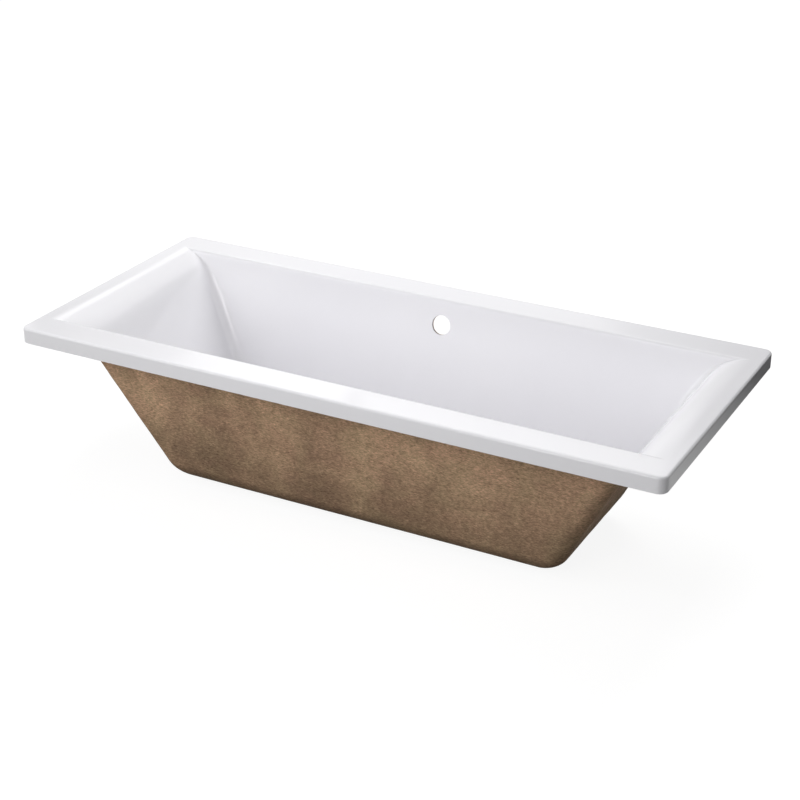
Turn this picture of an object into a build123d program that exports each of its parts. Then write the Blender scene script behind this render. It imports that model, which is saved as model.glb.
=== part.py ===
"""Double-ended bath for building in: a formed acrylic shell, backed by sprayed laminate and a base board."""

import os
from math import acos, cos, pi, radians, sin, sqrt, tan

from build123d import *

# Overall sizes, in millimetres. The origin is on the floor, under the middle of the bath; +X runs along it.
bath_length = 1700
bath_width = 750
well_depth = 419

# Layers, from the bathing side outwards.
sheet = 4.0
laminate = 3.5
board_thickness = 15
overlay = 3.0

# Rim: a flat frame round the well, with a skirt turned down at its outer edge.
skirt_height = 40
skirt_edge_radius = 9
rim_corner_radius = 22
side_rim_flat = 82
end_rim_flat = 32
laminate_trim = 2.0
least_inside_radius = 0.5

# Well: steep long sides with a tight rim edge, and reclining ends that roll over from the rim.
side_edge_radius = 9
end_roll_radius = 112
side_lean = 12
end_lean = 27.8
side_base_radius = 62
end_base_radius = 52

# Inside corners: a crease at the rim that opens as it runs down, then tightens into the floor.
crease_radius = 1.0
crease_run_out = 130
corner_upper_radius = 26
corner_lower_radius = 34
floor_corner_radius = 14

# Holes for the overflow, in the rear wall, and for the waste, in a dished seat in the floor.
overflow_diameter = 52
overflow_depth = 67
waste_diameter = 52
waste_to_floor_edge = 86
dish_diameter = 88
dish_depth = 4.0

# Stiffening: the board under the floor, and battens bonded to the underside of the rim.
board_setback = 14
board_corner_radius = 30
board_cutout_margin = 8
side_batten_width = 44
batten_height = 20
batten_clearance = 1.0

# Steps along each stretch of the well's forms, from the rim down to the floor.
edge_steps = 3
roll_steps = 4
run_out_steps = 4
wall_steps = 3
base_steps = 5

shell_thickness = sheet + laminate
rim_top = well_depth + shell_thickness + board_thickness + overlay
skirt_low = rim_top - skirt_height
os.makedirs("parts", exist_ok=True)


class WallCurve:
    """Upright section of one pair of facing walls, moved outwards by an offset.

    Depths are measured down from the rim's top face. The curve rolls over from the flat rim, runs
    straight at its lean, and rounds into the floor.
    """

    def __init__(self, opening_half, roll_radius, lean_degrees, base_radius, offset):
        self.lean = radians(lean_degrees)
        self.roll = max(roll_radius - offset, least_inside_radius)
        self.roll_depth = offset + self.roll
        wall_at_rim = opening_half - roll_radius * (1 / cos(self.lean) - tan(self.lean))
        self.wall_at_rim = wall_at_rim + offset / cos(self.lean)
        self.roll_half = self.straight(self.roll_depth) + self.roll / cos(self.lean)
        self.roll_end = self.roll_depth - self.roll * sin(self.lean)
        self.base = base_radius + offset
        self.base_depth = well_depth - base_radius
        self.base_start = self.base_depth + self.base * sin(self.lean)
        self.floor_half = self.straight(self.base_start) - self.base * cos(self.lean)

    def straight(self, depth):
        return self.wall_at_rim - depth * tan(self.lean)

    def half(self, depth):
        if depth < self.roll_end:
            return self.roll_half - sqrt(max(0, self.roll**2 - (self.roll_depth - depth) ** 2))
        if depth < self.base_start:
            return self.straight(depth)
        return self.floor_half + sqrt(max(0, self.base**2 - (depth - self.base_depth) ** 2))


def end_curve(offset):
    return WallCurve(bath_length / 2 - end_rim_flat, end_roll_radius, end_lean, end_base_radius, offset)


def side_curve(offset):
    return WallCurve(bath_width / 2 - side_rim_flat, side_edge_radius, side_lean, side_base_radius, offset)


def corner_radius(offset, depth):
    """Plan radius of the well's corners: a crease at the rim, opened further down, tight at the floor."""
    sides = side_curve(offset)
    run_out = crease_run_out + offset
    if depth < run_out:
        opened = sin(pi / 2 * (depth - offset) / crease_run_out)
        return offset + crease_radius + (corner_upper_radius - crease_radius) * opened
    if depth < sides.base_start:
        lowered = (depth - run_out) / (sides.base_start - run_out)
        return offset + corner_upper_radius + (corner_lower_radius - corner_upper_radius) * lowered
    left = (sides.half(depth) - sides.floor_half) / (sides.half(sides.base_start) - sides.floor_half)
    return offset + floor_corner_radius + (corner_lower_radius - floor_corner_radius) * left


def steps(low, high, count):
    return [low + (high - low) * i / count for i in range(count + 1)]


def well_form(offset, smooth):
    """Solid that fills the well, grown outwards by an offset, from the rim's layer of that offset to the floor.

    The rim's edge and the roll below it can be smooth lofts. The walls are flat, so their lofts are
    ruled, and the rounding into the floor runs in short ruled bands.
    """
    ends = end_curve(offset)
    sides = side_curve(offset)
    base_depth = sides.base_start
    base_height = well_depth + offset - base_depth
    run_out = crease_run_out + offset
    roll_from = acos((ends.roll_depth - sides.roll_end) / ends.roll)
    edge_turns = steps(0, pi / 2 - sides.lean, edge_steps)
    roll_turns = steps(roll_from, pi / 2 - ends.lean, roll_steps)
    base_turns = steps(0, pi / 2, base_steps)
    stages = [
        (smooth, [sides.roll_depth - sides.roll * cos(turn) for turn in edge_turns]),
        (smooth, [ends.roll_depth - ends.roll * cos(turn) for turn in roll_turns]),
        (False, steps(ends.roll_end, run_out, run_out_steps)),
        (False, steps(run_out, base_depth, wall_steps)),
        (False, [base_depth + base_height * sin(turn) for turn in base_turns]),
    ]
    with BuildPart() as form:
        for curved, depths in stages:
            for depth in depths:
                with BuildSketch(Plane.XY.offset(rim_top - depth)):
                    radius = corner_radius(offset, depth)
                    RectangleRounded(2 * ends.half(depth), 2 * sides.half(depth), radius)
            loft(ruled=not curved)
    return form.part


def dish_form(offset):
    """Shallow dish with 45 degree sides that seats the waste flange, grown by an offset."""
    wide = dish_diameter / 2 + offset * tan(pi / 8)
    floor = rim_top - well_depth - offset
    low = floor - dish_depth
    with BuildPart() as dish:
        with BuildSketch(Plane.XZ.offset(-waste_offset)):
            with BuildLine():
                Polyline((0, floor), (wide, floor), (wide - dish_depth, low), (0, low), close=True)
            make_face()
        revolve(axis=Axis((0, waste_offset, 0), (0, 0, 1)))
    return dish.part


# Planes of the two holes: the overflow's lies square to the rear wall, the waste's is level.
waste_offset = side_curve(0).floor_half - waste_to_floor_edge
waste_plane = Plane.XY.offset(rim_top - well_depth).move(Location((0, waste_offset, 0)))
overflow_plane = Plane(
    origin=(0, side_curve(0).half(overflow_depth), rim_top - overflow_depth),
    x_dir=(1, 0, 0),
    z_dir=(0, cos(radians(side_lean)), -sin(radians(side_lean))),
)
drill_reach = 3 * shell_thickness
with BuildPart() as hole_drills:
    for plane, diameter in ((overflow_plane, overflow_diameter), (waste_plane, waste_diameter)):
        with BuildSketch(plane):
            Circle(diameter / 2)
        extrude(amount=drill_reach, both=True)

# The faces that the layers share: the bathing side, the sheet's back and the laminate's back.
bathing_side = well_form(0, smooth=True)
sheet_back = well_form(sheet, smooth=False)
laminate_back = well_form(shell_thickness, smooth=False)

# Space behind the skirt, with its upper edge cut off to follow the skirt's rounded edge.
inside_edge_cut = (skirt_edge_radius - sheet) * (2 - sqrt(2))
with BuildPart() as skirt_space:
    with BuildSketch(Plane.XY.offset(skirt_low)):
        RectangleRounded(bath_length - 2 * sheet, bath_width - 2 * sheet, rim_corner_radius - sheet)
    extrude(amount=skirt_height - sheet)
    chamfer(skirt_space.faces().sort_by(Axis.Z)[-1].edges(), length=inside_edge_cut)

# Acrylic shell: one formed sheet, with the rim, skirt, well and waste seat in it.
with BuildPart() as acrylic_shell:
    with BuildSketch(Plane.XY.offset(skirt_low)):
        RectangleRounded(bath_length, bath_width, rim_corner_radius)
    extrude(amount=skirt_height)
    fillet(acrylic_shell.faces().sort_by(Axis.Z)[-1].edges(), radius=skirt_edge_radius)
    add(skirt_space.part, mode=Mode.SUBTRACT)
    add(sheet_back)
    add(dish_form(sheet))
    add(bathing_side, mode=Mode.SUBTRACT)
    add(dish_form(0), mode=Mode.SUBTRACT)
    add(hole_drills.part, mode=Mode.SUBTRACT)
acrylic_shell.part.label = "acrylic_shell"
export_step(acrylic_shell.part, "parts/acrylic_shell.step")

# Wall laminate: glass fibre and resin sprayed over the back of the well and the underside of the rim.
laminate_inset = sheet + inside_edge_cut + laminate_trim
flange_corner_radius = rim_corner_radius - laminate_inset
with BuildPart() as wall_laminate:
    with BuildSketch(Plane.XY.offset(rim_top - shell_thickness)):
        RectangleRounded(bath_length - 2 * laminate_inset, bath_width - 2 * laminate_inset, flange_corner_radius)
    extrude(amount=laminate)
    add(laminate_back)
    add(dish_form(shell_thickness))
    add(sheet_back, mode=Mode.SUBTRACT)
    add(dish_form(sheet), mode=Mode.SUBTRACT)
    add(hole_drills.part, mode=Mode.SUBTRACT)
wall_laminate.part.label = "wall_laminate"
export_step(wall_laminate.part, "parts/wall_laminate.step")

# Base board: a flat board bonded under the floor, cut away round the waste.
board_half_length = end_curve(shell_thickness).floor_half - board_setback
board_half_width = side_curve(shell_thickness).floor_half - board_setback
cutout_radius = dish_diameter / 2 + shell_thickness + board_cutout_margin
with BuildPart() as base_board:
    with BuildSketch(Plane.XY.offset(overlay)):
        RectangleRounded(2 * board_half_length, 2 * board_half_width, board_corner_radius)
        with Locations((0, waste_offset)):
            Circle(cutout_radius, mode=Mode.SUBTRACT)
    extrude(amount=board_thickness)
base_board.part.label = "base_board"
export_step(base_board.part, "parts/base_board.step")

# Base overlay: laminate wrapped over the board's underside and edges, which seals it to the floor.
with BuildPart() as base_overlay:
    with BuildSketch(Plane.XY):
        radius = board_corner_radius + overlay
        RectangleRounded(2 * board_half_length + 2 * overlay, 2 * board_half_width + 2 * overlay, radius)
        with Locations((0, waste_offset)):
            Circle(cutout_radius - overlay, mode=Mode.SUBTRACT)
    extrude(amount=overlay + board_thickness)
    add(base_board.part, mode=Mode.SUBTRACT)
base_overlay.part.label = "base_overlay"
export_step(base_overlay.part, "parts/base_overlay.step")

# Rim battens: timber strips under the rim's four sides, butted at the corners.
batten_inset = laminate_inset + overlay
end_batten_width = end_rim_flat - batten_inset - overlay - batten_clearance
end_batten_half = bath_width / 2 - rim_corner_radius
batten_low = rim_top - shell_thickness - batten_height
end_batten_inside = bath_length / 2 - batten_inset - end_batten_width
side_batten_inside = bath_width / 2 - batten_inset - side_batten_width


def rim_batten(name, size_x, size_y, place_x, place_y):
    with BuildPart() as batten:
        with BuildSketch(Plane.XY.offset(batten_low)):
            with Locations((place_x, place_y)):
                Rectangle(size_x, size_y)
        extrude(amount=batten_height)
    batten.part.label = name
    export_step(batten.part, f"parts/{name}.step")
    return batten.part


side_place = side_batten_inside + side_batten_width / 2
end_place = end_batten_inside + end_batten_width / 2
battens = [
    rim_batten("front_rim_batten", 2 * end_batten_inside, side_batten_width, 0, -side_place),
    rim_batten("rear_rim_batten", 2 * end_batten_inside, side_batten_width, 0, side_place),
    rim_batten("left_rim_batten", end_batten_width, 2 * end_batten_half, -end_place, 0),
    rim_batten("right_rim_batten", end_batten_width, 2 * end_batten_half, end_place, 0),
]

# Rim overlay: laminate laid over the battens, bonding them to the underside of the rim.
with BuildPart() as rim_overlay:
    with BuildSketch(Plane.XY.offset(batten_low - overlay)):
        RectangleRounded(bath_length - 2 * laminate_inset, bath_width - 2 * laminate_inset, flange_corner_radius)
        inside_length = 2 * (end_batten_inside - overlay)
        inside_width = 2 * (side_batten_inside - overlay)
        Rectangle(inside_length, inside_width, mode=Mode.SUBTRACT)
    extrude(amount=batten_height + overlay)
    for batten in battens:
        add(batten, mode=Mode.SUBTRACT)
rim_overlay.part.label = "rim_overlay"
export_step(rim_overlay.part, "parts/rim_overlay.step")
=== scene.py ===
from math import acos, atan2, cos, pi, radians, sin, sqrt, tan

import bmesh
import bpy
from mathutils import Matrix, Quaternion, Vector, noise


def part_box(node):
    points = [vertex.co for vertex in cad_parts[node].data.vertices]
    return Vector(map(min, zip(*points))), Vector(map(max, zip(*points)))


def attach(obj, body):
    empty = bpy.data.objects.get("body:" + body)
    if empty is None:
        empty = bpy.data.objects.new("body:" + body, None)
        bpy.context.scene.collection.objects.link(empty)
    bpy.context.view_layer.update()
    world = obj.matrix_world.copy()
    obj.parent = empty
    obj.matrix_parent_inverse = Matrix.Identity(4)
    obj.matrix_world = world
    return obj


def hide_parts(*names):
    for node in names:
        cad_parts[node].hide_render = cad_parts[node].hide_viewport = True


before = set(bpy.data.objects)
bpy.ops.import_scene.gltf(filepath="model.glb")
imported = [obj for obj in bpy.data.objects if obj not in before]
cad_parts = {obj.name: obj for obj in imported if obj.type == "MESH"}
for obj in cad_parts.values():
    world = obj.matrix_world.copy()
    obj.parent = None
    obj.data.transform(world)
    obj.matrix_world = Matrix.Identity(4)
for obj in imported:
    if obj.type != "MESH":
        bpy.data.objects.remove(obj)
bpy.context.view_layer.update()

# Acrylic shell: one sheet of white acrylic, heated and drawn into a mould by vacuum. The flat rim, the
# turned-down skirt, the steep sides, the rolled-over ends and the floor with its waste seat are all this
# sheet. It is trimmed at the skirt and drilled for the overflow and the waste.
_, shell_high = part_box("acrylic_shell")
rim_half_length = shell_high.x
rim_half_width = shell_high.y
rim_top = shell_high.z
sheet = 0.004
well_depth = 0.419
skirt_height = 0.040
skirt_edge_radius = 0.006
skirt_trim_radius = 0.0006
rim_corner_radius = 0.022
side_rim_flat = 0.082
end_rim_flat = 0.032
side_edge_radius = 0.009
end_roll_radius = 0.112
least_inside_radius = 0.0005
side_lean = radians(12)
end_lean = radians(27.8)
side_base_radius = 0.062
end_base_radius = 0.085
crease_radius = 0.001
crease_run_out = 0.130
corner_upper_radius = 0.026
corner_lower_radius = 0.034
floor_corner_radius = 0.014
waste_radius = 0.026
waste_to_floor_edge = 0.086
dish_radius = 0.044
dish_depth = 0.004
dish_run = 0.007
overflow_radius = 0.026
overflow_depth = 0.067
drilled_edge = 0.0006
drill_flare = 0.004
drill_reach = 0.020
drill_points = 96
drill_turn = 0.37
corner_steps = 12
long_steps = 110
short_steps = 44
skirt_edge_steps = 10
below_skirt_edge = 0.001
flat_shares = (0.03, 0.25, 0.5, 0.75, 0.97)
opening_edge_steps = 8
roll_steps = 16
crease_steps = 16
wall_steps = 30
base_steps = 18
floor_steps = 8
dish_steps = 8
acrylic_sharp_angle = 38


class WallCurve:
    """Upright section of two facing walls at an offset outwards, by depth below the rim's top face."""

    def __init__(self, opening_half, roll_radius, lean, base_radius, offset):
        self.lean = lean
        self.roll = max(roll_radius - offset, least_inside_radius)
        self.roll_depth = offset + self.roll
        wall_at_rim = opening_half - roll_radius * (1 / cos(lean) - tan(lean))
        self.wall_at_rim = wall_at_rim + offset / cos(lean)
        self.roll_half = self.straight(self.roll_depth) + self.roll / cos(lean)
        self.roll_end = self.roll_depth - self.roll * sin(lean)
        self.base = base_radius + offset
        self.base_depth = well_depth - base_radius
        self.base_start = self.base_depth + self.base * sin(lean)
        self.floor_half = self.straight(self.base_start) - self.base * cos(lean)

    def straight(self, depth):
        return self.wall_at_rim - depth * tan(self.lean)

    def half(self, depth):
        if depth < self.roll_end:
            return self.roll_half - sqrt(max(0, self.roll**2 - (self.roll_depth - depth) ** 2))
        if depth < self.base_start:
            return self.straight(depth)
        return self.floor_half + sqrt(max(0, self.base**2 - (depth - self.base_depth) ** 2))


def end_curve(offset):
    return WallCurve(rim_half_length - end_rim_flat, end_roll_radius, end_lean, end_base_radius, offset)


def side_curve(offset):
    return WallCurve(rim_half_width - side_rim_flat, side_edge_radius, side_lean, side_base_radius, offset)


def corner_radius(offset, depth):
    """Plan radius of the well's corners: a crease at the rim, opened further down, tight at the floor."""
    sides = side_curve(offset)
    run_out = crease_run_out + offset
    if depth < run_out:
        opened = sin(pi / 2 * max(0, depth - offset) / crease_run_out)
        return offset + crease_radius + (corner_upper_radius - crease_radius) * opened
    if depth < sides.base_start:
        lowered = (depth - run_out) / (sides.base_start - run_out)
        return offset + corner_upper_radius + (corner_lower_radius - corner_upper_radius) * lowered
    left = (sides.half(depth) - sides.floor_half) / (sides.half(sides.base_start) - sides.floor_half)
    return offset + floor_corner_radius + (corner_lower_radius - floor_corner_radius) * left


def steps(low, high, count):
    return [low + (high - low) * i / count for i in range(count + 1)]


def rounded_ring(half_length, half_width, radius, height):
    """Points round a rounded rectangle at a height, as many in every ring, so that any two can be joined."""
    inner_x = half_length - radius
    inner_y = half_width - radius
    centres = [(inner_x, inner_y), (-inner_x, inner_y), (-inner_x, -inner_y), (inner_x, -inner_y)]
    arcs = []
    for corner, (x, y) in enumerate(centres):
        turns = steps(corner * pi / 2, (corner + 1) * pi / 2, corner_steps)
        arcs.append([Vector((x + radius * cos(turn), y + radius * sin(turn), height)) for turn in turns])
    ring = []
    for corner, arc in enumerate(arcs):
        following = arcs[(corner + 1) % 4][0]
        count = short_steps if corner % 2 else long_steps
        ring += arc + [arc[-1].lerp(following, i / count) for i in range(1, count)]
    return ring


def well_depths(offset):
    """Depths of the well's rings, from the rim's layer of that offset down to the floor."""
    ends = end_curve(offset)
    sides = side_curve(offset)
    run_out = crease_run_out + offset
    roll_from = acos((ends.roll_depth - sides.roll_end) / ends.roll)
    base_height = well_depth + offset - sides.base_start
    edge_turns = steps(0, pi / 2 - sides.lean, opening_edge_steps)
    roll_turns = steps(roll_from, pi / 2 - ends.lean, roll_steps)
    base_turns = steps(0, pi / 2, base_steps)
    edge = [sides.roll_depth - sides.roll * cos(turn) for turn in edge_turns]
    roll = [ends.roll_depth - ends.roll * cos(turn) for turn in roll_turns]
    crease = steps(ends.roll_end, run_out, crease_steps)
    wall = steps(run_out, sides.base_start, wall_steps)
    base = [sides.base_start + base_height * sin(turn) for turn in base_turns]
    return edge + roll[1:] + crease[1:] + wall[1:] + base[1:]


waste_offset = side_curve(0).floor_half - waste_to_floor_edge


def waste_ring(outline, radius, height):
    """Circle round the waste, each point in line with the waste's middle and a point of an outline."""
    ring = []
    for point in outline:
        turn = atan2(point.y - waste_offset, point.x)
        ring.append(Vector((radius * cos(turn), waste_offset + radius * sin(turn), height)))
    return ring


def well_side(offset):
    """Rings over one face of the well at an offset, from the rim's opening down into the waste's dish."""
    ends = end_curve(offset)
    sides = side_curve(offset)
    rings = []
    for depth in well_depths(offset):
        radius = corner_radius(offset, depth)
        rings.append(rounded_ring(ends.half(depth), sides.half(depth), radius, rim_top - depth))
    floor_edge = rings[-1]
    floor = rim_top - well_depth - offset
    dish_edge = waste_ring(floor_edge, dish_radius + offset * tan(pi / 8), floor)
    for share in steps(0, 1, floor_steps)[1:]:
        rings.append([p.lerp(q, share) for p, q in zip(floor_edge, dish_edge)])
    for share in steps(0, 1, dish_steps)[1:]:
        fall = share * share * (3 - 2 * share)
        radius = dish_radius + offset * tan(pi / 8) - dish_run * share
        rings.append(waste_ring(floor_edge, radius, floor - dish_depth * fall))
    return rings


def ring_object(name, rings):
    """Closed skin through rings in order, the last joined to the first."""
    count = len(rings[0])
    points = [point for ring in rings for point in ring]
    faces = []
    for i in range(len(rings)):
        row = i * count
        following = (i + 1) % len(rings) * count
        for j in range(count):
            beside = (j + 1) % count
            faces.append((row + j, row + beside, following + beside, following + j))
    mesh = bpy.data.meshes.new(name)
    mesh.from_pydata(points, [], faces)
    shape = bmesh.new()
    shape.from_mesh(mesh)
    bmesh.ops.recalc_face_normals(shape, faces=shape.faces)
    shape.to_mesh(mesh)
    shape.free()
    piece = bpy.data.objects.new(name, mesh)
    bpy.context.scene.collection.objects.link(piece)
    return piece


def smooth_over(piece, sharp_angle):
    """Smooth shading, with a hard edge wherever two faces meet at more than an angle."""
    piece.data.shade_smooth()
    piece.data.set_sharp_from_angle(angle=radians(sharp_angle))


overflow_middle = Vector((0, side_curve(0).half(overflow_depth), rim_top - overflow_depth))
overflow_axis = Vector((0, cos(side_lean), -sin(side_lean)))


def drill_overflow(piece):
    """Cuts the overflow hole through a piece, square to the rear wall, with its front edge eased."""
    sideways = Vector((1, 0, 0))
    upwards = overflow_axis.cross(sideways)
    profile = [
        (-drill_flare, overflow_radius + drilled_edge + drill_flare),
        (drilled_edge, overflow_radius),
        (drill_reach, overflow_radius),
    ]
    turns = [2 * pi * (i + drill_turn) / drill_points for i in range(drill_points)]
    spokes = [sideways * cos(turn) + upwards * sin(turn) for turn in turns]
    drill_mesh = bpy.data.meshes.new("overflow_drill")
    shape = bmesh.new()
    rows = []
    for along, radius in profile:
        middle = overflow_middle + overflow_axis * along
        rows.append([shape.verts.new(middle + radius * spoke) for spoke in spokes])
    for near, far in zip(rows, rows[1:]):
        for i in range(len(near)):
            shape.faces.new((near[i - 1], near[i], far[i], far[i - 1]))
    shape.faces.new(rows[0])
    shape.faces.new(rows[-1])
    bmesh.ops.recalc_face_normals(shape, faces=shape.faces)
    shape.to_mesh(drill_mesh)
    shape.free()
    drill = bpy.data.objects.new("overflow_drill", drill_mesh)
    bpy.context.scene.collection.objects.link(drill)
    cut = piece.modifiers.new("overflow", "BOOLEAN")
    cut.object = drill
    cut.operation = "DIFFERENCE"
    cut.solver = "EXACT"
    drilled = bpy.data.meshes.new_from_object(piece.evaluated_get(bpy.context.evaluated_depsgraph_get()))
    piece.modifiers.remove(cut)
    piece.data = drilled
    bpy.data.objects.remove(drill)


def edge_rings(inset, edge_radius):
    """Rings up the skirt, at an inset from its outer face, and over its rounded edge to the rim's flat."""
    skirt_low = rim_top - skirt_height
    edge = rim_top - skirt_edge_radius
    sizes = [(inset, edge - below_skirt_edge)]
    for turn in steps(0, pi / 2, skirt_edge_steps):
        sizes.append((skirt_edge_radius - edge_radius * cos(turn), edge + edge_radius * sin(turn)))
    trimmed = skirt_trim_radius if inset == 0 else -skirt_trim_radius
    sizes = [(inset + trimmed, skirt_low), (inset, skirt_low + skirt_trim_radius)] + sizes
    return [
        rounded_ring(rim_half_length - gone, rim_half_width - gone, rim_corner_radius - gone, height)
        for gone, height in sizes
    ]


def flat_rings(outer, inner):
    """Rings over a flat between two outlines, close together at both so that the flat stays flat."""
    return [[p.lerp(q, share) for p, q in zip(outer, inner)] for share in flat_shares]


outer_skirt = edge_rings(0, skirt_edge_radius)
inner_skirt = edge_rings(sheet, skirt_edge_radius - sheet)
bathing_side = well_side(0)
sheet_back = well_side(sheet)
waste_top = rim_top - well_depth - dish_depth
waste_edges = [
    waste_ring(bathing_side[0], waste_radius + drilled_edge, waste_top),
    waste_ring(bathing_side[0], waste_radius, waste_top - drilled_edge),
    waste_ring(bathing_side[0], waste_radius, waste_top - sheet),
]
shell_rings = outer_skirt + flat_rings(outer_skirt[-1], bathing_side[0]) + bathing_side + waste_edges
shell_rings += sheet_back[::-1] + flat_rings(sheet_back[0], inner_skirt[-1]) + inner_skirt[::-1]
formed_shell = ring_object("formed_shell", shell_rings)
drill_overflow(formed_shell)
smooth_over(formed_shell, acrylic_sharp_angle)


def node_adder(tree):
    """Gives a function that adds a node to a tree, with values by name and links by input and source."""

    def add_node(kind, links=(), **settings):
        node = tree.nodes.new(kind)
        for key, value in settings.items():
            socket = key.replace("_", " ")
            if socket in node.inputs:
                node.inputs[socket].default_value = value
            else:
                setattr(node, key, value)
        for key, source in links:
            tree.links.new(source, node.inputs[key])
        return node

    return add_node


def new_material(name):
    """Gives a new material, its Principled shader, a function that adds nodes to it, and its links."""
    material = bpy.data.materials.new(name)
    material.use_nodes = True
    tree = material.node_tree
    return material, tree.nodes["Principled BSDF"], node_adder(tree), tree.links


def shades(add_node, source, stops):
    """Colour that runs through stops, pairs of position and colour, as a source value rises."""
    ramp_node = add_node("ShaderNodeValToRGB", [("Fac", source)])
    elements = ramp_node.color_ramp.elements
    elements[0].position, elements[1].position = stops[0][0], stops[-1][0]
    for position, _ in stops[1:-1]:
        elements.new(position)
    for element, (_, colour) in zip(elements, stops):
        element.color = (*colour, 1)
    return ramp_node.outputs["Color"]


def finish_piece(piece, material, node):
    """Puts a material on a piece that stands for a CAD node, and hands the piece to the frame."""
    piece.data.materials.clear()
    piece.data.materials.append(material)
    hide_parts(node)
    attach(piece, "root")


acrylic, shader, add_node, links = new_material("white_acrylic")
shader.inputs["IOR"].default_value = 1.49
shader.inputs["Specular IOR Level"].default_value = 0.5
place = add_node("ShaderNodeTexCoord").outputs["Object"]
cloudy = add_node("ShaderNodeTexNoise", [("Vector", place)], Scale=2.5, Detail=3.0)
white_stops = [(0.3, (0.880, 0.874, 0.902)), (0.7, (0.898, 0.892, 0.916))]
links.new(shades(add_node, cloudy.outputs["Fac"], white_stops), shader.inputs["Base Color"])
wiped = add_node("ShaderNodeTexNoise", [("Vector", place)], Scale=14.0, Detail=5.0)
gloss = add_node("ShaderNodeMapRange", [("Value", wiped.outputs["Fac"])], To_Min=0.06, To_Max=0.12)
links.new(gloss.outputs["Result"], shader.inputs["Roughness"])
drawn = add_node("ShaderNodeTexNoise", [("Vector", place)], Scale=45.0, Detail=2.0)
ripple = add_node("ShaderNodeBump", [("Height", drawn.outputs["Fac"])], Strength=0.02, Distance=0.002)
links.new(ripple.outputs["Normal"], shader.inputs["Normal"])
finish_piece(formed_shell, acrylic, "acrylic_shell")

# Wall laminate: chopped glass fibre and brown pigmented resin, sprayed over the back of the formed sheet and
# rolled down by hand. It is uneven and blotched, with a fine grain of fibres, and is trimmed under the rim,
# short of the skirt.
laminate = 0.0035
laminate_seam = 0.00005
_, laminate_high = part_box("wall_laminate")
laminate_inset = rim_half_length - laminate_high.x
shell_thickness = sheet + laminate
trim_radius = 0.001
rolled_reach = 0.0016
floor_ease = 0.05
rim_ease = 0.02
broad_waves = 5.0
broad_share = 0.5
patch_waves = 17.0
patch_shift = Vector((3, 7, 1))
patch_share = 0.35
ridge_waves = Vector((40, 40, 25))
ridge_share = 0.15
laminate_sharp_angle = 50


def uneven(point):
    """Thickness of hand-rolled laminate above its mean at a point, as a share of its reach."""
    broad = noise.noise(point * broad_waves)
    patches = noise.noise(point * patch_waves + patch_shift)
    ridges = noise.noise(point * ridge_waves)
    return broad_share * broad + patch_share * patches + ridge_share * ridges


def flange_outline(inset, height):
    return rounded_ring(rim_half_length - inset, rim_half_width - inset, rim_corner_radius - inset, height)


laminate_back = well_side(shell_thickness)
laminate_front = well_side(sheet + laminate_seam)
under_flange = rim_top - shell_thickness
over_flange = rim_top - sheet - laminate_seam
flange_edge = [
    flange_outline(laminate_inset, over_flange),
    flange_outline(laminate_inset, under_flange + trim_radius),
    flange_outline(laminate_inset + trim_radius, under_flange),
]
waste_low = waste_top - shell_thickness
waste_sides = [
    waste_ring(laminate_back[0], waste_radius, waste_low),
    waste_ring(laminate_back[0], waste_radius, waste_top - sheet - laminate_seam),
]
flange_under = flange_edge + flat_rings(flange_edge[-1], laminate_back[0])
laminate_rings = flange_under + laminate_back + waste_sides
laminate_rings += laminate_front[::-1] + flat_rings(laminate_front[0], flange_edge[0])
sprayed_laminate = ring_object("sprayed_laminate", laminate_rings)
floor_low = rim_top - well_depth - shell_thickness
ring_points = len(laminate_rings[0])
wall_start = len(flange_under) * ring_points
wall_end = wall_start + len(well_depths(0)) * ring_points
rolled = sprayed_laminate.data.vertices[wall_start:wall_end]
for vertex, normal in zip(rolled, [vertex.normal.copy() for vertex in rolled]):
    above_floor = min(1, max(0, (vertex.co.z - floor_low) / floor_ease))
    below_rim = min(1, max(0, (under_flange - vertex.co.z) / rim_ease))
    vertex.co += normal * uneven(vertex.co) * rolled_reach * above_floor * below_rim
sprayed_laminate.data.update()
drill_overflow(sprayed_laminate)
smooth_over(sprayed_laminate, laminate_sharp_angle)


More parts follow.
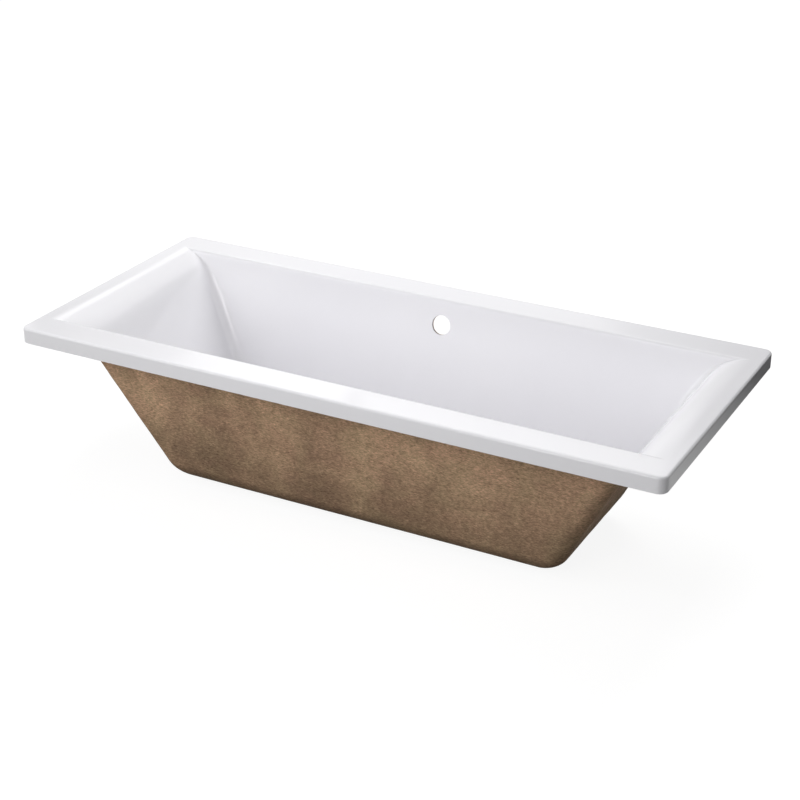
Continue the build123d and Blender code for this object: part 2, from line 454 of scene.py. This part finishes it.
def laminate_material(name, shade):
    """Brown resin with chopped fibres: soft blotches where it was rolled thick or thin, and a fine grain."""
    material, shader, add_node, links = new_material(name)
    shader.inputs["IOR"].default_value = 1.5
    shader.inputs["Specular IOR Level"].default_value = 0.04
    place = add_node("ShaderNodeTexCoord").outputs["Object"]
    blotches = add_node(
        "ShaderNodeTexNoise", [("Vector", place)], Scale=8.0, Detail=7.0, Roughness=0.66, Distortion=0.9
    )
    browns = ((0.331, 0.216, 0.141), (0.424, 0.284, 0.179), (0.517, 0.353, 0.221))
    thick, middle, thin = [tuple(shade * value for value in brown) for brown in browns]
    colour = shades(add_node, blotches.outputs["Fac"], [(0.30, thick), (0.5, middle), (0.70, thin)])

    def toned(colour, value, low, high, darkest, lightest):
        """Colour made darker and lighter as a value goes from low to high."""
        tone = add_node("ShaderNodeMapRange", [("Value", value)], From_Min=low, From_Max=high)
        tone.inputs["To Min"].default_value = darkest
        tone.inputs["To Max"].default_value = lightest
        mix = add_node("ShaderNodeMix", data_type="RGBA", blend_type="MULTIPLY", Factor=1.0)
        links.new(colour, mix.inputs["A"])
        links.new(tone.outputs["Result"], mix.inputs["B"])
        return mix.outputs["Result"]

    upright = add_node("ShaderNodeMapping", [("Vector", place)], Scale=(8.0, 8.0, 2.0))
    runs = add_node("ShaderNodeTexNoise", [("Vector", upright.outputs["Vector"])], Scale=1.0, Detail=2.0)
    colour = toned(colour, runs.outputs["Fac"], low=0.3, high=0.7, darkest=0.88, lightest=1.12)
    patches = add_node("ShaderNodeTexNoise", [("Vector", place)], Scale=11.0, Detail=3.0, Distortion=0.6)
    tint_stops = [(0.36, (1.022, 0.988, 1.01)), (0.64, (0.982, 1.006, 0.995))]
    tints = shades(add_node, patches.outputs["Fac"], tint_stops)
    tinted = add_node("ShaderNodeMix", data_type="RGBA", blend_type="MULTIPLY", Factor=1.0)
    links.new(colour, tinted.inputs["A"])
    links.new(tints, tinted.inputs["B"])
    colour = tinted.outputs["Result"]
    # Painted shade: the laminate's colour is darkened low down, at the foot of the wall and under the bath
    # where the surfaces face down, and lightened higher up towards the rim, for how the light falls on it.
    height = add_node("ShaderNodeSeparateXYZ", [("Vector", place)]).outputs["Z"]
    colour = toned(colour, height, low=0.030, high=0.072, darkest=0.45, lightest=1.0)
    colour = toned(colour, height, low=0.10, high=0.26, darkest=0.87, lightest=1.32)
    relief = None
    grains = ((0.9, 110, 70, 0.10), (-0.5, 90, 230, 0.20), (0.2, 120, 450, 0.44))
    for tilt, along, upward, depth in grains:
        turned = add_node("ShaderNodeMapping", [("Vector", place)], Rotation=(0.1, 0.25 * tilt, 0.3))
        turned.inputs["Scale"].default_value = (along, along, upward)
        grain_links = [("Vector", turned.outputs["Vector"])]
        grain = add_node(
            "ShaderNodeTexNoise", grain_links, Scale=1.0, Detail=3.0, Roughness=0.65, Distortion=0.6
        )
        fibre = grain.outputs["Fac"]
        colour = toned(colour, fibre, low=0.3, high=0.7, darkest=1 - depth, lightest=1 + depth)
        if relief is None:
            relief = fibre
        else:
            relief = add_node("ShaderNodeMath", [(0, relief), (1, fibre)], operation="ADD").outputs["Value"]
    links.new(colour, shader.inputs["Base Color"])
    wet = add_node("ShaderNodeTexNoise", [("Vector", place)], Scale=22.0, Detail=4.0)
    sheen = add_node("ShaderNodeMapRange", [("Value", wet.outputs["Fac"])], To_Min=0.55, To_Max=0.85)
    links.new(sheen.outputs["Result"], shader.inputs["Roughness"])
    fibres = add_node("ShaderNodeBump", [("Height", relief)], Strength=0.4, Distance=0.0012)
    links.new(fibres.outputs["Normal"], shader.inputs["Normal"])
    return material


brown_laminate = laminate_material("brown_laminate", 1.0)
finish_piece(sprayed_laminate, brown_laminate, "wall_laminate")

# Base board: a flat particle board, pressed from wood chips and glue and bonded to the wet laminate under
# the floor. It spreads the load, takes the screws of a leg set, and is cut away round the waste.
board_ease = 0.0008
particle_board, shader, add_node, links = new_material("particle_board")
place = add_node("ShaderNodeTexCoord").outputs["Object"]
chips = add_node("ShaderNodeTexVoronoi", [("Vector", place)], Scale=260.0)
chip_stops = [(0.0, (0.34, 0.22, 0.12)), (1.0, (0.64, 0.47, 0.29))]
links.new(shades(add_node, chips.outputs["Color"], chip_stops), shader.inputs["Base Color"])
pressed = add_node("ShaderNodeBump", [("Height", chips.outputs["Distance"])], Strength=0.3, Distance=0.0005)
links.new(pressed.outputs["Normal"], shader.inputs["Normal"])
shader.inputs["Roughness"].default_value = 0.8


def ease_edges(node, width):
    """Takes the sharpness off the edges of a CAD node's solid."""
    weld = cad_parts[node].modifiers.new("joined_faces", "WELD")
    weld.merge_threshold = 0.00002
    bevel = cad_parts[node].modifiers.new("eased_edges", "BEVEL")
    bevel.width = width
    bevel.segments = 2
    bevel.limit_method = "ANGLE"
    bevel.angle_limit = radians(40)


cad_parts["base_board"].data.materials.clear()
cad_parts["base_board"].data.materials.append(particle_board)
ease_edges("base_board", board_ease)

# Base overlay: the same fibre and resin, laid wet over the board's underside and edges and into its
# cut-out, so that the board is sealed to the floor. The bath rests on its flat underside.
overlay = 0.003
_, overlay_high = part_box("base_overlay")
overlay_corner_radius = 0.033
overlay_cutout_radius = 0.0565
overlay_edge_radius = 0.0028
overlay_reach = 0.0007
overlay_side_steps = 4
overlay_under_steps = 24
laid_edge_steps = 5
laid_waves = 2


def base_outline(inset, height):
    radius = overlay_corner_radius - inset
    return rounded_ring(overlay_high.x - inset, overlay_high.y - inset, radius, height)


def across(outer, inner, count):
    """Rings that divide the way from one ring to another evenly, without the two themselves."""
    return [[p.lerp(q, i / count) for p, q in zip(outer, inner)] for i in range(1, count)]


def over_edge(ring_at, low, radius):
    """Rings over a rounded lower edge, from its side round to its underside, by how far they are set in."""
    turns = steps(0, pi / 2, laid_edge_steps)
    return [ring_at(radius - radius * cos(turn), low + radius - radius * sin(turn)) for turn in turns]


def cutout_ring(inset, height):
    return waste_ring(base_outline(0, 0), overlay_cutout_radius + inset, height)


overlay_top = base_outline(0, overlay_high.z)
side_rings = across(overlay_top, base_outline(0, overlay_edge_radius), overlay_side_steps)
laid_outer = [overlay_top] + side_rings + over_edge(base_outline, 0, overlay_edge_radius)
laid_inner = over_edge(cutout_ring, 0, overlay_edge_radius)[::-1] + [cutout_ring(0, overlay_high.z)]
board_side = [cutout_ring(overlay, overlay_high.z), cutout_ring(overlay, overlay)]
board_edge = [base_outline(overlay, overlay), base_outline(overlay, overlay_high.z)]
laid_rings = laid_outer + across(laid_outer[-1], laid_inner[0], overlay_under_steps) + laid_inner
laid_base = ring_object("laid_base_overlay", laid_rings + board_side + board_edge)
for vertex in laid_base.data.vertices[: len(laid_rings) * len(laid_rings[0])]:
    thickness = overlay_reach * uneven(vertex.co * laid_waves)
    if vertex.co.z < overlay_edge_radius:
        vertex.co.z += abs(thickness)
    elif vertex.co.z < overlay_high.z:
        vertex.co.y += thickness if vertex.co.y > 0 else -thickness
laid_base.data.update()
smooth_over(laid_base, laminate_sharp_angle)
finish_piece(laid_base, laminate_material("base_laminate", 0.9), "base_overlay")

# Rim battens: four strips of sawn softwood, bonded under the front, rear and ends of the rim to stiffen it
# and to take screws. The long ones run between the short ones, and all are buried in the rim overlay.
batten_edge = 0.0012


def softwood(name, grain_turn):
    """Sawn softwood with its grain along the piece: early and late wood in bands, and saw marks across."""
    material, shader, add_node, links = new_material(name)
    place = add_node("ShaderNodeTexCoord").outputs["Object"]
    way = (0, 0, grain_turn)
    along = add_node("ShaderNodeMapping", [("Vector", place)], Rotation=way, Scale=(2.5, 90, 90))
    ring_links = [("Vector", along.outputs["Vector"])]
    rings = add_node("ShaderNodeTexNoise", ring_links, Scale=1.0, Detail=4.0, Distortion=0.8)
    wood_stops = [(0.32, (0.47, 0.31, 0.16)), (0.5, (0.62, 0.45, 0.27)), (0.68, (0.70, 0.54, 0.35))]
    links.new(shades(add_node, rings.outputs["Fac"], wood_stops), shader.inputs["Base Color"])
    shader.inputs["Roughness"].default_value = 0.75
    sawn = add_node("ShaderNodeMapping", [("Vector", place)], Rotation=way, Scale=(420, 8, 8))
    teeth = add_node("ShaderNodeTexNoise", [("Vector", sawn.outputs["Vector"])], Scale=1.0, Detail=1.0)
    marks = add_node("ShaderNodeBump", [("Height", teeth.outputs["Fac"])], Strength=0.3, Distance=0.0004)
    links.new(marks.outputs["Normal"], shader.inputs["Normal"])
    return material


lengthwise = softwood("softwood_lengthwise", 0)
crosswise = softwood("softwood_crosswise", pi / 2)
batten_woods = {
    "front_rim_batten": lengthwise,
    "rear_rim_batten": lengthwise,
    "left_rim_batten": crosswise,
    "right_rim_batten": crosswise,
}
for batten, wood in batten_woods.items():
    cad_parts[batten].data.materials.clear()
    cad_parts[batten].data.materials.append(wood)
    ease_edges(batten, batten_edge)

# Rim overlay: fibre and resin laid wet over the battens and up to the laminate on the rim, so that the
# battens become one rib round the underside of the rim. Its edges are soft, because the mat won't go round
# a sharp one.
rim_overlay_low, rim_overlay_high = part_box("rim_overlay")
side_rib_width = 0.050
end_rib_width = 0.02207
rib_corner_radius = rim_corner_radius - laminate_inset
rib_inside_corner = 0.0006
rib_edge_radius = 0.004
rib_top = rim_overlay_high.z
rib_low = rim_overlay_low.z
rib_reach = 0.0006
rib_side_steps = 4
rib_under_steps = 6


def rib_outside(inset, height):
    radius = max(rib_corner_radius - inset, rib_inside_corner)
    return rounded_ring(rim_overlay_high.x - inset, rim_overlay_high.y - inset, radius, height)


def rib_inside(inset, height):
    half_length = rim_overlay_high.x - end_rib_width + inset
    half_width = rim_overlay_high.y - side_rib_width + inset
    return rounded_ring(half_length, half_width, rib_inside_corner + inset, height)


rib_face = over_edge(rib_outside, rib_low, rib_edge_radius)
rib_back = over_edge(rib_inside, rib_low, rib_edge_radius)[::-1]
outer_top = rib_outside(0, rib_top)
inner_top = rib_inside(0, rib_top)
rib_faces = [outer_top] + across(outer_top, rib_face[0], rib_side_steps) + rib_face
rib_faces += across(rib_face[-1], rib_back[0], rib_under_steps) + rib_back
rib_faces += across(rib_back[-1], inner_top, rib_side_steps) + [inner_top]
batten_bed = [
    rib_inside(overlay, rib_top),
    rib_inside(overlay, rib_low + overlay),
    rib_outside(overlay, rib_low + overlay),
    rib_outside(overlay, rib_top),
]
laid_rib = ring_object("laid_rim_overlay", rib_faces + batten_bed)
for vertex in laid_rib.data.vertices[: len(rib_faces) * len(rib_faces[0])]:
    if vertex.co.z < rib_top:
        vertex.co.z += rib_reach * uneven(vertex.co * laid_waves)
laid_rib.data.update()
smooth_over(laid_rib, laminate_sharp_angle)
finish_piece(laid_rib, laminate_material("rim_laminate", 0.9), "rim_overlay")

# Floor and backdrop: plain white, as in a product picture. The floor is a matt sheet that keeps the bath's
# soft shadow, and it grows lighter away from the bath until it is as white as the backdrop behind it.
floor_half = 14
floor_grey = 0.20
room_light = 0.165
floor_mesh = bpy.data.meshes.new("studio_floor")
floor_corners = [(x * floor_half, y * floor_half, 0) for x, y in ((-1, -1), (1, -1), (1, 1), (-1, 1))]
floor_mesh.from_pydata(floor_corners, [], [(0, 1, 2, 3)])
studio_floor = bpy.data.objects.new("studio_floor", floor_mesh)
bpy.context.scene.collection.objects.link(studio_floor)


def seen_plainly(add_node):
    """1 for what the camera sees, straight or in gloss or glass, and 0 for light that falls on the bath."""
    rays = add_node("ShaderNodeLightPath").outputs
    straight = [(0, rays["Is Camera Ray"]), (1, rays["Is Glossy Ray"])]
    seen = add_node("ShaderNodeMath", straight, operation="MAXIMUM")
    through = [(0, seen.outputs["Value"]), (1, rays["Is Transmission Ray"])]
    return add_node("ShaderNodeMath", through, operation="MAXIMUM").outputs["Value"]


near_white = 0.90
near_reach = 1.2
far_reach = 3.2
floor_paint = bpy.data.materials.new("studio_floor")
floor_paint.use_nodes = True
floor_paint.node_tree.nodes.clear()
add_node = node_adder(floor_paint.node_tree)
place = add_node("ShaderNodeTexCoord").outputs["Object"]
reach = add_node("ShaderNodeVectorMath", [(0, place)], operation="LENGTH").outputs["Value"]
whiteness = add_node("ShaderNodeMapRange", [("Value", reach)], From_Min=near_reach, From_Max=far_reach)
whiteness.inputs["To Min"].default_value = near_white
glow_links = [(0, seen_plainly(add_node)), (1, whiteness.outputs["Result"])]
glow_level = add_node("ShaderNodeMath", glow_links, operation="MULTIPLY")
glow = add_node("ShaderNodeEmission", [("Strength", glow_level.outputs["Value"])])
matt = add_node("ShaderNodeBsdfDiffuse", Color=(floor_grey, floor_grey, floor_grey, 1))
both = add_node("ShaderNodeAddShader", [(0, matt.outputs["BSDF"]), (1, glow.outputs["Emission"])])
add_node("ShaderNodeOutputMaterial", [("Surface", both.outputs["Shader"])])
floor_mesh.materials.append(floor_paint)

world = bpy.data.worlds.new("studio")
world.use_nodes = True
bpy.context.scene.world = world
add_node = node_adder(world.node_tree)
room = add_node("ShaderNodeMapRange", [("Value", seen_plainly(add_node))], To_Min=room_light, To_Max=1.0)
backdrop = world.node_tree.nodes["Background"]
backdrop.inputs["Color"].default_value = (1, 1, 1, 1)
world.node_tree.links.new(room.outputs["Result"], backdrop.inputs["Strength"])

# Dark cards: black cloth laid and hung round the set, out of the picture, which shows only in the gloss of
# the acrylic. It takes the white of the room out of the rim and skirt at the right and draws the rim's
# rounded edge.
card_distance = 2.5
card_top = rim_top + 1.8
ceiling = rim_top + 3.4
ceiling_sides = (-5, 5)
ceiling_rows = ((-6, 1), (0.6, 1), (2.6, 0))
floor_card_height = 0.003
floor_card_sides = (0.9, 2.0)
floor_rows = ((0.36, 0), (1.15, 1), (card_distance, 1))
right_rows = ((-1.1, 0.15, 0), (0.0, 0.42, 1), (1.7, 1.7, 1))
left_sides = (-3.3, -1.98)
left_rows = (((0.76, 0), (1.48, 0)), ((1.66, 1), (1.66, 0.24)))


def dark_card(name, rows):
    """Cloth over rows of two points, each a place and how dark it is there, from 0, clear, to 1, black."""
    mesh = bpy.data.meshes.new(name)
    corners = [corner for row in rows for corner in row]
    strips = [(2 * row, 2 * row + 1, 2 * row + 3, 2 * row + 2) for row in range(len(rows) - 1)]
    mesh.from_pydata([place for place, _ in corners], [], strips)
    darkness = mesh.attributes.new("darkness", "FLOAT", "POINT")
    darkness.data.foreach_set("value", [dark for _, dark in corners])
    cloth = bpy.data.materials.new(name)
    cloth.use_nodes = True
    cloth.node_tree.nodes.clear()
    add_node = node_adder(cloth.node_tree)
    dark = add_node("ShaderNodeAttribute", attribute_name="darkness").outputs["Fac"]
    clear = add_node("ShaderNodeBsdfTransparent").outputs["BSDF"]
    black = add_node("ShaderNodeBsdfDiffuse", Color=(0, 0, 0, 1)).outputs["BSDF"]
    weave = add_node("ShaderNodeMixShader", [(0, dark), (1, clear), (2, black)])
    add_node("ShaderNodeOutputMaterial", [("Surface", weave.outputs["Shader"])])
    mesh.materials.append(cloth)
    card = bpy.data.objects.new(name, mesh)
    card.visible_camera = False
    card.visible_diffuse = False
    card.visible_shadow = False
    bpy.context.scene.collection.objects.link(card)


floor_card = [[((x, y, floor_card_height), dark) for x in floor_card_sides] for y, dark in floor_rows]
dark_card("floor_card", floor_card)
ceiling_card = [[((x, y, ceiling), dark) for x in ceiling_sides] for y, dark in ceiling_rows]
dark_card("ceiling_card", ceiling_card)
right_card = [
    [((low_x, card_distance, rim_top), dark), ((high_x, card_distance, card_top), dark)]
    for low_x, high_x, dark in right_rows
]
dark_card("right_card", right_card)
left_card = [
    [((x, card_distance, rim_top + above), dark) for x, (above, dark) in zip(left_sides, row)]
    for row in left_rows
]
dark_card("left_card", left_card)

# Lamps: soft boxes in front, behind and above, which light the bath evenly, and two strips that draw lights
# on the rim and the left roll. Three of the boxes are kept out of the gloss, so that the white acrylic shows
# its form by shade.
large_box = 2.0
small_box = 1.0
middle_of_bath = (0, 0, rim_top)
front_of_rim = (-0.8, -0.33, rim_top)
left_of_rim = (-0.8, 0, rim_top)


def soft_light(name, place, aim, width, height, watts, in_gloss, turn=0):
    """Soft box at a place, facing an aim and turned about that line, which shows in gloss or doesn't."""
    lamp = bpy.data.lights.new(name, "AREA")
    lamp.shape = "RECTANGLE"
    lamp.energy = watts
    lamp.size = width
    lamp.size_y = height
    box = bpy.data.objects.new(name, lamp)
    box.location = place
    box.rotation_mode = "QUATERNION"
    facing = (Vector(aim) - Vector(place)).to_track_quat("-Z", "Y")
    box.rotation_quaternion = facing @ Quaternion((0, 0, 1), turn)
    box.visible_glossy = in_gloss
    bpy.context.scene.collection.objects.link(box)


lamps = (
    ("front_light", (0, -3.709, 1.498), large_box, 46, True),
    ("left_front_light", (-2.622, -2.622, 1.498), large_box, 31, True),
    ("back_light", (0, 2.463, 3.152), large_box, 89, False),
    ("low_front_light", (0.1, -1.1, 1.4), small_box, 6.1, False),
    ("low_left_light", (-0.7, 0.3, 1.6), small_box, 4.6, False),
)
for name, (x, y, above), size, watts, in_gloss in lamps:
    soft_light(name, (x, y, rim_top + above), middle_of_bath, size, size, watts, in_gloss)
rim_strip = (-0.8, 2.5, rim_top + 1.585)
soft_light("rim_strip_light", rim_strip, front_of_rim, width=1.4, height=0.16, watts=0.6, in_gloss=True)
roll_strip = (-2.2, 2.5, rim_top + 1.83)
roll_turn = radians(52)
soft_light("roll_strip_light", roll_strip, left_of_rim, 1.2, 0.7, watts=3.0, in_gloss=True, turn=roll_turn)

# Camera: level, in front of the right-hand corner and well above the rim, with the bath filling the square
# picture. A long lens keeps the bath's far end nearly as wide as its near one.
lens_length = 78.27
sensor = 36
eye = Vector((1.8604, -3.4450, rim_top + 1.7096))
aim = Vector((0.18281, -0.29825, rim_top))
camera_data = bpy.data.cameras.new("camera")
camera_data.lens = lens_length
camera_data.sensor_width = sensor
camera_data.clip_end = 60
camera = bpy.data.objects.new("camera", camera_data)
camera.location = eye
camera.rotation_mode = "QUATERNION"
camera.rotation_quaternion = (aim - eye).to_track_quat("-Z", "Y")
bpy.context.scene.collection.objects.link(camera)
bpy.context.scene.camera = camera
bpy.context.scene.view_settings.view_transform = "Standard"
